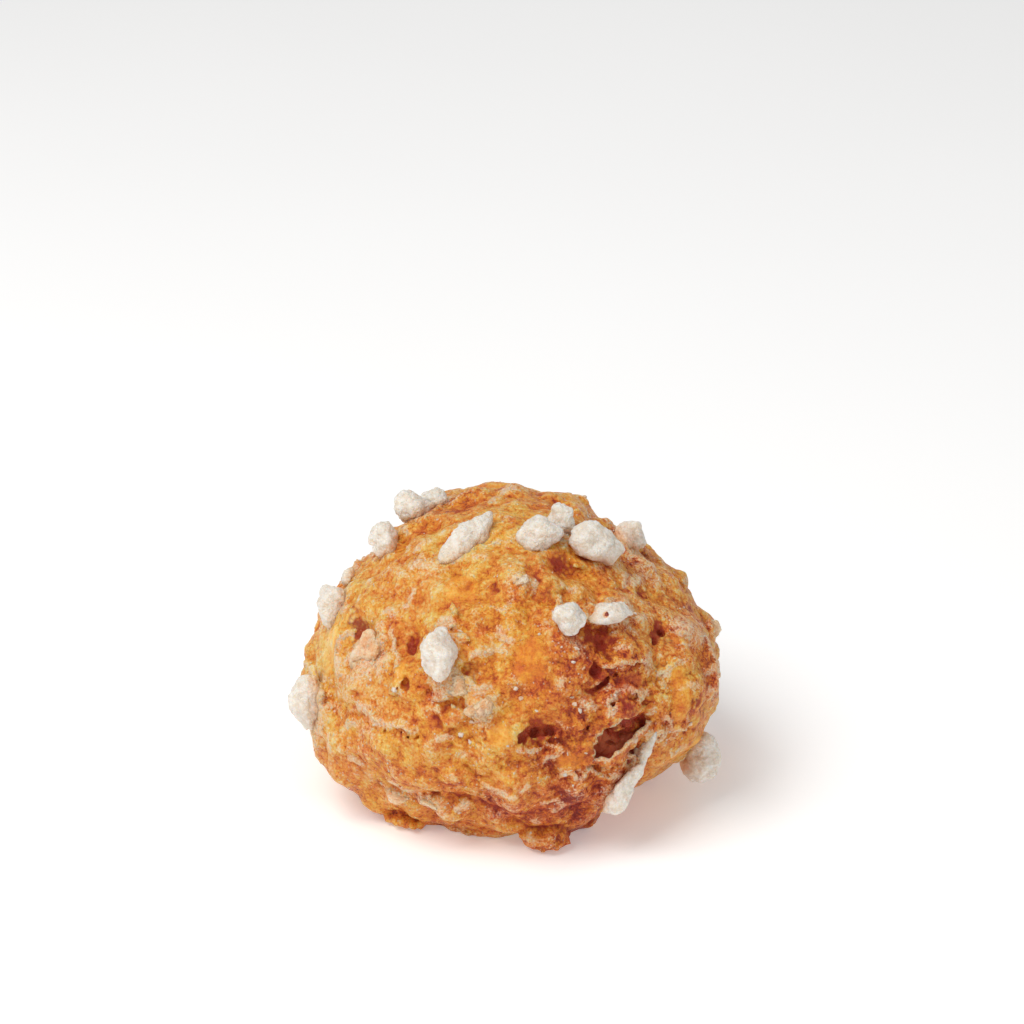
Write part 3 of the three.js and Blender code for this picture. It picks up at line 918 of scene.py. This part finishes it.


# ---- The crust ----

# Patches where the crust is paler or darker than the even tone; the dark one at (32.5, 62.5) is painted
# shadow under sugar grains.
TONE_PATCHES = [
    (-75, 12, 24, 0.21), (-62, -6, 12, 0.1), (-44, 10, 9, 0.14), (-6, 18, 12, 0.04), (-29, 37, 7, 0.08),
    (-40, 52, 20, 0.05), (-30, 82, 18, 0.05), (10, 76, 26, 0.09), (-5, 34, 6, 0.14), (11, 26, 7, -0.12),
    (31, 18, 6, -0.1), (37, 18, 5, -0.1), (-70, 24, 14, 0.05), (32.5, 62.5, 4, -0.12), (34, 12, 13, -0.14),
    (20, -12, 20, -0.12), (8, 6, 12, -0.08), (-3, -20, 9, -0.14), (33, 33, 9, -0.08), (52, 14, 8, 0.1),
    (50, 1, 8, -0.1), (66, 8, 5, -0.12), (24, -22, 16, -0.19), (17, 6, 10, -0.12), (46, 6, 5, -0.1),
    (24, 30, 7, -0.06), (-50, -6, 12, 0.06), (150, 20, 34, 0.05), (150, -5, 24, -0.16),
    (-140, 10, 22, -0.1), (-170, 45, 22, 0.06),
]
EVEN_TONE = 0.47

# Patches where the crust is yellow rather than orange.
YELLOW_PATCHES = [
    (-72, 16, 18, 0.45), (-37, 21, 4, 0.7), (-25, 52, 8, 0.5), (-4, 34, 9, 0.4), (5, 27, 8, 0.3),
    (52, 12, 7, 0.5), (58, -10, 9, 0.4), (16, -1, 5, 0.4), (0, 0, 10, 0.2), (-2, 17, 10, 0.25),
    (-34, -4, 14, 0.2), (36, 16, 6, -0.5), (20, -14, 16, -0.3), (64, 8, 5, -0.5), (10, 78, 22, 0.3),
    (120, 30, 24, 0.3), (-150, 40, 24, 0.3),
]
EVEN_YELLOW = 0.4

# Patches of dark red, down in the tears of the crust and round them; those under and beside sugar grains, at
# (32.5, 61.5), (51.5, 59.5), (60.5, 53) and (-15, 29), are painted shadow.
REDS = [
    (26, 2.5, 5, 1.1), (30.5, 5, 5, 1.1), (36, 7.5, 4, 1), (33, 13.5, 3.4, 0.7), (36.5, 18.5, 5, 0.3),
    (26, 24.5, 2.6, 1.1), (28, 20.5, 2, 0.9), (27, 35, 2.6, 0.9), (30.5, 31.5, 1.8, 0.8), (43, 28, 1.7, 0.7),
    (53.5, 27, 1.8, 0.7), (57, 26, 2.4, 0.8), (60, 29, 2.2, 0.8), (32.5, 61.5, 4.2, 1.1),
    (51.5, 59.5, 3, 0.9), (29, -40, 7, 1.2), (11, -27, 2.5, 0.8), (4, -27, 2.5, 0.8), (60, 4, 4, 0.4),
    (60.5, -1, 3.5, 0.4), (60.5, 53, 2.5, 0.6), (-10, 51.5, 2, 0.7), (11.5, 54, 1.6, 0.8), (15, 50, 3, 0.5),
    (-37.5, 28.5, 2.4, 0.5), (-34, 23, 2.2, 0.6), (-67, 29, 4, 0.6), (-63, 24, 3, 0.6),
    (-49.5, 10.5, 1.8, 0.8), (-21, 12, 3, 0.35), (-15, 29, 3.6, 0.6), (0.5, 44.5, 1.6, 0.6),
    (3.5, 8.5, 3.2, 0.9), (8.5, 8.5, 2.6, 0.8), (9.5, 14.5, 2.5, 0.6), (-32.5, 4.5, 1.4, 0.8),
    (-39.5, -6.5, 1.2, 0.8), (23, 13.5, 1.8, 0.7), (55, 7, 2.6, 0.8), (55.5, -10.5, 1.8, 0.7),
    (48.5, -2, 1.5, 0.6), (-60.5, 44.5, 1.6, 0.7), (152, 2, 6, 1), (-132, 16, 4, 1), (100, 24, 3.5, 0.9),
    (170, 36, 2.5, 0.8), (-155, -2, 3, 0.8),
]

POCKET_LIGHT_PLACE = (30, 4, 16)  # where light is painted into the torn pocket: turn, rise, reach in degrees

# Patches where the crumb is crisp and its colours change sharply.
CRISP = [(66, 25, 26, 0.4), (36, 16, 16, 0.2), (-160, 20, 50, 0.2)]
EVEN_CRISP = 0.85

# Patches where sugar has frosted the crust.
BLOOM_PATCHES = [
    (-53, 22, 7, 0.35), (-68, 2, 13, 0.25), (-46, 10, 9, 0.15), (-29, 37, 6, 0.1), (-6, 33, 4, 0.15),
    (-23, 20, 6, 0.25), (-12, 15, 3, 0.35), (70, 20, 4, 0.3), (68, 3, 4, 0.3), (64, -4, 4, 0.25),
    (-13, 39, 4, 0.3), (-25, 38, 3, 0.25), (-5, 33, 5, 0.25), (-46, 4, 14, 0.24), (-62, -10, 14, 0.2),
    (-60, 52, 9, 0.28), (62, 42, 9, 0.34), (84, 40, 9, 0.4), (66, 26, 7, 0.42), (46, 19, 3.5, 0.6),
    (49, 14, 3, 0.45), (71, 10, 4, 0.4), (22, 31, 3, 0.35), (0, -12, 16, 0.16), (-20, -17, 12, 0.2),
    (38, -1, 6, 0.3), (0, 74, 16, -0.08), (140, 30, 30, 0.2), (-150, 20, 30, 0.25), (170, 60, 22, 0.2),
]
EVEN_BLOOM = 0.2


def nearness(points, path, close, far):
    """1 for points closer than close to a path, 0 from far on."""
    tree = KDTree(len(path))
    for index, middle in enumerate(path):
        tree.insert(middle, index)
    tree.balance()
    gap = np.array([tree.find(point)[2] for point in points])
    return 1 - ease(close, far, gap)


def grain_nearness(points):
    """1 at the sugar grains, fading over the crust round them."""
    closest = np.full(len(points), 9.0)
    for turn, rise, long, wide, thick, lean, _, melted in GRAINS:
        half = np.array([long, wide, thick]) / 2
        local = (points - crust_point(turn, rise)) @ place_axes(turn, rise, lean).T
        gap = (np.linalg.norm(local / half, axis=1) - 1) * half.min() - 0.5 * melted
        closest = np.minimum(closest, gap)
    return 1 - ease(-0.3, 1.5, closest)


def make_crust():
    corners, quads, lips = grown_crust()
    piece = make_mesh("puff_crust", corners, quads)
    keep_triangles(piece, CRUST_TRIANGLES)
    points = corners_of(piece)
    normals = normals_of(piece)
    edges = read_rows(piece.data.edges, "vertices", 2, np.int32)
    out = points - CENTRE
    away = np.linalg.norm(out, axis=1)
    out /= away[:, None]

    fine = smoothed(points, edges, 4)
    broad = smoothed(fine, edges, 30)
    fine_hollow = ((fine - points) * normals).sum(1)
    broad_hollow = ((broad - points) * normals).sum(1)
    depth = whole_radius(out) + CRUST_DROP - away
    base = ease(3.5, 0.5, points[:, 2])
    blister = blister_share(out)[0] * (1 - ease(0.3, 1.0, depth))
    lip = nearness(points, np.concatenate(lips), 0.15, 0.6)
    fringe = nearness(points, np.concatenate([lips[number] for number in FROSTED_LIPS]), 0.2, 0.9)
    sugared = grain_nearness(points)
    large, small, _ = crumb_layers(points)

    tone = EVEN_TONE + patches(out, TONE_PATCHES)
    tone += 0.10 * rough(points, 5.5, 701) + 0.12 * rough(points, 1.6, 702)
    tone += 0.10 * (large - MEAN_CRUMB) + 0.18 * (small - MEAN_CRUMB)
    # painted shade: the crust darker in its hollows, fine and broad, together with the darker bake of its
    # pits
    tone -= 0.64 * np.clip(fine_hollow, -0.12, 0.25)
    tone -= 0.16 * np.clip(broad_hollow, -0.6, 1.0)
    tone += 0.12 * lip
    tone -= 0.12 * base

    yellow = EVEN_YELLOW + patches(out, YELLOW_PATCHES)
    yellow += 0.32 * rough(points, 3.0, 721) + 0.15 * blister

    red = np.clip(patches(out, REDS), 0, 1.2) + 0.15 * rough(points, 0.9, 731)
    # painted shade, with the dark red of the torn crust: redder low in the tears and in hollows
    red += 0.5 * ease(0.3, 0.9, depth) + 0.7 * ease(0.9, 1.8, depth)
    red += 1.6 * np.clip(fine_hollow, -0.1, 0.2) + 0.22 * np.clip(broad_hollow, -0.6, 1.0)
    red -= (0.5 * lip + 0.4 * fringe) * (1 - ease(0.2, 0.7, depth))

    bloom = EVEN_BLOOM + patches(out, BLOOM_PATCHES)
    bloom += 0.22 * rough(points, 2.0, 711) + 0.35 * fringe
    bloom += 0.15 * (small - MEAN_CRUMB)
    # painted shade: less pale frost in hollows and low in the tears
    bloom -= 1.0 * np.clip(fine_hollow, -0.1, 0.25)
    bloom -= 0.3 * np.clip(broad_hollow, -0.4, 1.0)
    bloom -= 0.8 * ease(0.8, 2.0, depth)
    bloom += 0.55 * lip + 0.35 * sugared
    bloom -= 0.30 * blister + 0.5 * np.clip(red, 0, 1)
    bloom += 0.9 * blister * (1 - blister)
    bloom = np.clip(bloom, 0, 1.2)

    set_values(
        piece,
        tone=np.clip(tone, 0, 1),
        yellow=np.clip(yellow, 0, 1.2),
        red=np.clip(red, 0, 2.0),
        # painted light far down in the torn pocket
        deep=ease(1.2, 2.1, depth) * bump(out, *POCKET_LIGHT_PLACE),
        bloom=bloom,
        blister=blister,
        crisp=EVEN_CRISP + np.clip(patches(out, CRISP), 0, 0.7),
    )
    piece.data.materials.append(crust_material())
    return piece, bloom


# ---- The sugar ----

GRAIN_SIDES = 14
GRAIN_SIDE_NEAR = (0.78, 1.0)  # how far the flat sides lie from the middle, as a share
GRAIN_CORNER = 4.5  # higher is sharper
GRAIN_SWELL = 1.08  # as corners make a chunk look smaller than a ball as long
GRAIN_GLOW_DEPTH = 0.0015  # metres that light enters a grain

# How much a grain narrows towards its end along, and outwards, by its number among the front ones.
GRAIN_TAPER = {7: (0, 0.55), 12: (0.55, 0), 13: (0.4, 0), 19: (0.25, 0)}
# A pinhole in a grain, through which the crust is seen.
PINHOLE_GRAIN = 12
PINHOLE_AT = (-0.79, -0.34, 0.51)  # along, across and outwards, on a ball
PINHOLE_REACH = 0.30
PINHOLE_DEPTH = 0.5
CRUMB_COUNT = 600
CRUMB_RADIUS = (0.05, 0.16)
CRUMB_STRETCH = (0.45, 1.6)
CRUMB_SOAK = (0.3, 1.0)
CRUMB_SEED = 901
CRUMB_LOWEST = 1.5
# Bits of sugar that stand out: turn, rise, radius.
CLEAR_CRUMBS = [
    (17.5, 16, 0.22), (18.2, 14, 0.18), (19.5, 0.8, 0.16), (19, 27.5, 0.18), (-14.5, 6.8, 0.22),
    (-13.8, 5.6, 0.18), (-35.5, 17, 0.2), (0.5, 19, 0.16), (6, 14.5, 0.18), (-13.5, 11.5, 0.28),
    (-10, 15, 0.3), (-8.5, 13.5, 0.24), (14, -6, 0.16), (21, 32.5, 0.22), (35.5, 1.8, 0.16),
]


def unit_ball(subdivisions):
    ball = bmesh.new()
    bmesh.ops.create_icosphere(ball, subdivisions=subdivisions, radius=1)
    corners = np.array([v.co[:] for v in ball.verts])
    faces = np.array([[v.index for v in f.verts] for f in ball.faces])
    ball.free()
    return corners, faces


def chunk(ball, seed):
    """A ball cut by flat sides with rounded corners, reaching 1 along each axis."""
    rng = np.random.default_rng(seed)
    index = np.arange(GRAIN_SIDES) + 0.5
    height = 1 - 2 * index / GRAIN_SIDES
    around = np.radians(GOLDEN_ANGLE) * index + rng.uniform(0, 6.28)
    level = np.sqrt(1 - height ** 2)
    sides = np.stack([level * np.cos(around), level * np.sin(around), height], 1)
    sides = unit(sides + rng.normal(0, 0.25, sides.shape))
    near = rng.uniform(*GRAIN_SIDE_NEAR, GRAIN_SIDES)
    pressed = np.clip(ball @ sides.T / near, 0, None) ** GRAIN_CORNER
    radius = pressed.sum(1) ** (-1 / GRAIN_CORNER)
    local = ball * radius[:, None]
    return GRAIN_SWELL * local / np.abs(local).max(0)


def grain_corners(ball, grain, index):
    """The points of one grain in place, how thickly each is soaked by the crust, and how melted it is."""
    turn, rise, long, wide, thick, lean, sunk, melted = grain
    half = np.array([long, wide, thick]) / 2
    seed = GRAIN_SEED + index
    local = chunk(ball, seed)
    along, outwards = GRAIN_TAPER.get(index, (0, 0))
    narrow = 1 - along * ease(-0.4, 1.0, local[:, 0]) - outwards * ease(-0.4, 1.0, local[:, 2])
    local = local * np.where(np.arange(3) == (2 if outwards else 0), 1, narrow[:, None])
    swell = 1 + GRAIN_LUMP_HEIGHT / half[1] * noise(ball * half / GRAIN_LUMP_SPAN, seed)
    local = local * half * swell[:, None]
    out = direction(turn, rise)
    raise_by = thick * (0.5 - sunk - 0.28 * melted ** 2)
    middle = CENTRE + out * (crust_radius(out[None])[0] + raise_by)
    placed = middle + local @ place_axes(turn, rise, lean)
    loose = shifted(placed, 0.9, 0.25, 806)
    knobs, _ = crumbs(loose, 1.15, 801)
    grit, _ = crumbs(loose, 0.42, 811)
    away = unit(placed - middle)
    raised = 0.30 * (knobs - 0.62) + 0.16 * (grit - 0.6) + 0.07 * rough(placed, 0.30, 821)
    placed = shifted(placed, 1.4, 0.30 + 0.12 * melted, 831) + away * raised[:, None]
    soak = 1 - ease(-0.4, 1.7, (placed - middle) @ out + raise_by)
    melt = np.full(len(placed), float(melted))
    if index == PINHOLE_GRAIN:
        hole = ease(PINHOLE_REACH, 0.4 * PINHOLE_REACH, np.linalg.norm(ball - np.array(PINHOLE_AT), axis=1))
        placed -= away * (PINHOLE_DEPTH * hole)[:, None]
        melt += 3.5 * hole
    placed[:, 2] = np.maximum(placed[:, 2], FLAT_BASE)
    return placed, soak, melt


def joined_sugar(name, bits, depth):
    """One piece from many bits of sugar, each with its faces, corners, soak and melt."""
    faces, corners, soaks, melts = zip(*bits)
    starts = np.cumsum([0] + [len(bit) for bit in corners[:-1]])
    faces = np.concatenate([bit + start for bit, start in zip(faces, starts)])
    piece = make_mesh(name, np.concatenate(corners), faces)
    set_values(piece, soak=np.concatenate(soaks), melt=np.concatenate(melts))
    piece.data.materials.append(sugar_material(name + "_white", depth))
    return piece


def make_sugar():
    balls = {True: unit_ball(5), False: unit_ball(4)}
    bits = []
    for index, grain in enumerate(GRAINS):
        ball, faces = balls[index < len(FRONT_GRAINS)]
        bits.append((faces, *grain_corners(ball, grain, index)))
    return joined_sugar("pearl_sugar", bits, GRAIN_GLOW_DEPTH)


def make_sugar_crumbs(crust, bloom):
    """Bits of sugar on the crust: some in their own places, and the rest strewn, most where it is frosted."""
    rng = np.random.default_rng(CRUMB_SEED)
    points = corners_of(crust)
    normals = normals_of(crust)
    outs = unit(points - CENTRE)
    weight = (0.10 + np.clip(bloom, 0, 1) ** 2) * (points[:, 2] > CRUMB_LOWEST)
    strewn = rng.choice(len(points), CRUMB_COUNT, replace=False, p=weight / weight.sum())
    sizes = mix(CRUMB_RADIUS, rng.random(CRUMB_COUNT) ** 2.5)
    clear = []
    for turn, rise, _ in CLEAR_CRUMBS:
        near = np.argsort(outs @ direction(turn, rise))[-12:]
        clear.append(near[np.argmax(np.linalg.norm(points[near] - CENTRE, axis=1))])
    places = np.concatenate([clear, strewn])
    sizes = np.concatenate([[radius for _, _, radius in CLEAR_CRUMBS], sizes])
    balls = {True: unit_ball(4), False: unit_ball(2)}
    bits = []
    for number, (place, size) in enumerate(zip(places, sizes)):
        ball, faces = balls[number < len(CLEAR_CRUMBS)]
        seed = CRUMB_SEED + number
        turn, _ = np.linalg.qr(rng.normal(size=(3, 3)))
        shape = chunk(ball, seed) * rng.uniform(*CRUMB_STRETCH, 3)
        shape *= 1 + 0.40 * noise(ball * 1.9, seed)[:, None]
        shape *= 1 + 0.25 * noise(ball * 4.5, seed)[:, None]
        shape = size * shape @ turn
        flat = shape @ normals[place]
        shape -= 0.3 * flat[:, None] * normals[place]
        corners = points[place] + normals[place] * size * 0.2 + shape
        soak = np.full(len(ball), rng.uniform(*CRUMB_SOAK))
        bits.append((faces, corners, soak, np.zeros(len(ball))))
    return joined_sugar("sugar_crumbs", bits, 0)


# ---- The stage ----

PHOTO_SIDE = 1024  # pixels, of the square frame
BUN_MIDDLE_AT = (515, 667)  # pixel where the middle of the bun is seen
PIXELS_PER_MM = 9.24
VIEW_RISE = 28.0  # degrees above level
VIEW_DISTANCE = 450.0
VIEW_END = 5.0  # metres
SENSOR = 36.0
FLOOR_SIDE = 6.0  # metres
LIGHT_DISTANCE = 420.0
# Square soft lights: name, direction from the bun, side, watts, colour.
LIGHTS = [
    ("key", (-0.40, -0.32, 0.86), 260, 1.25, (1.0, 0.985, 0.96)),
    ("fill", (0.75, -0.70, 0.45), 420, 0.15, (0.97, 0.98, 1.0)),
]
ROOM_LIGHT = 0.42


def make_camera():
    camera = bpy.data.cameras.new("camera")
    camera.sensor_width = SENSOR
    camera.lens = SENSOR * PIXELS_PER_MM * VIEW_DISTANCE / PHOTO_SIDE
    camera.clip_end = VIEW_END
    rise = math.radians(VIEW_RISE)
    at = CENTRE + VIEW_DISTANCE * np.array([0, -math.cos(rise), math.sin(rise)])
    right, down = ((pixel - PHOTO_SIDE / 2) / PHOTO_SIDE * SENSOR / camera.lens for pixel in BUN_MIDDLE_AT)
    rig = bpy.data.objects.new("camera", camera)
    rig.location = at * MM
    rig.rotation_euler = (math.pi / 2 - rise + math.atan(down), 0, math.atan(right))
    bpy.context.scene.collection.objects.link(rig)
    bpy.context.scene.camera = rig


def make_area_light(name, towards, side, power, colour):
    light = bpy.data.lights.new(name, "AREA")
    light.size = side * MM
    light.energy = power
    light.color = colour
    lamp = bpy.data.objects.new(name, light)
    way = Vector(towards).normalized()
    lamp.location = Vector(CENTRE * MM) + way * (LIGHT_DISTANCE * MM)
    lamp.rotation_euler = way.to_track_quat("Z", "Y").to_euler()
    bpy.context.scene.collection.objects.link(lamp)


def make_stage():
    bpy.ops.mesh.primitive_plane_add(size=FLOOR_SIDE, location=(0, 0, 0))
    floor = bpy.context.object
    floor.name = "floor"
    floor.data.materials.append(floor_material())
    for light in LIGHTS:
        make_area_light(*light)

    world = bpy.data.worlds.new("studio")
    world.use_nodes = True
    background = world.node_tree.nodes["Background"].inputs
    background["Color"].default_value = WHITE
    background["Strength"].default_value = ROOM_LIGHT
    scene = bpy.context.scene
    scene.world = world
    scene.view_settings.view_transform = "Standard"
    scene.view_settings.look = "None"


# ---- Putting it together ----

crust, frosting = make_crust()
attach(crust, BODY)
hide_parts(NODE)

sugar = make_sugar()
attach(sugar, BODY)
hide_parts(NODE)

sugar_crumbs = make_sugar_crumbs(crust, frosting)
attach(sugar_crumbs, BODY)

make_camera()
make_stage()
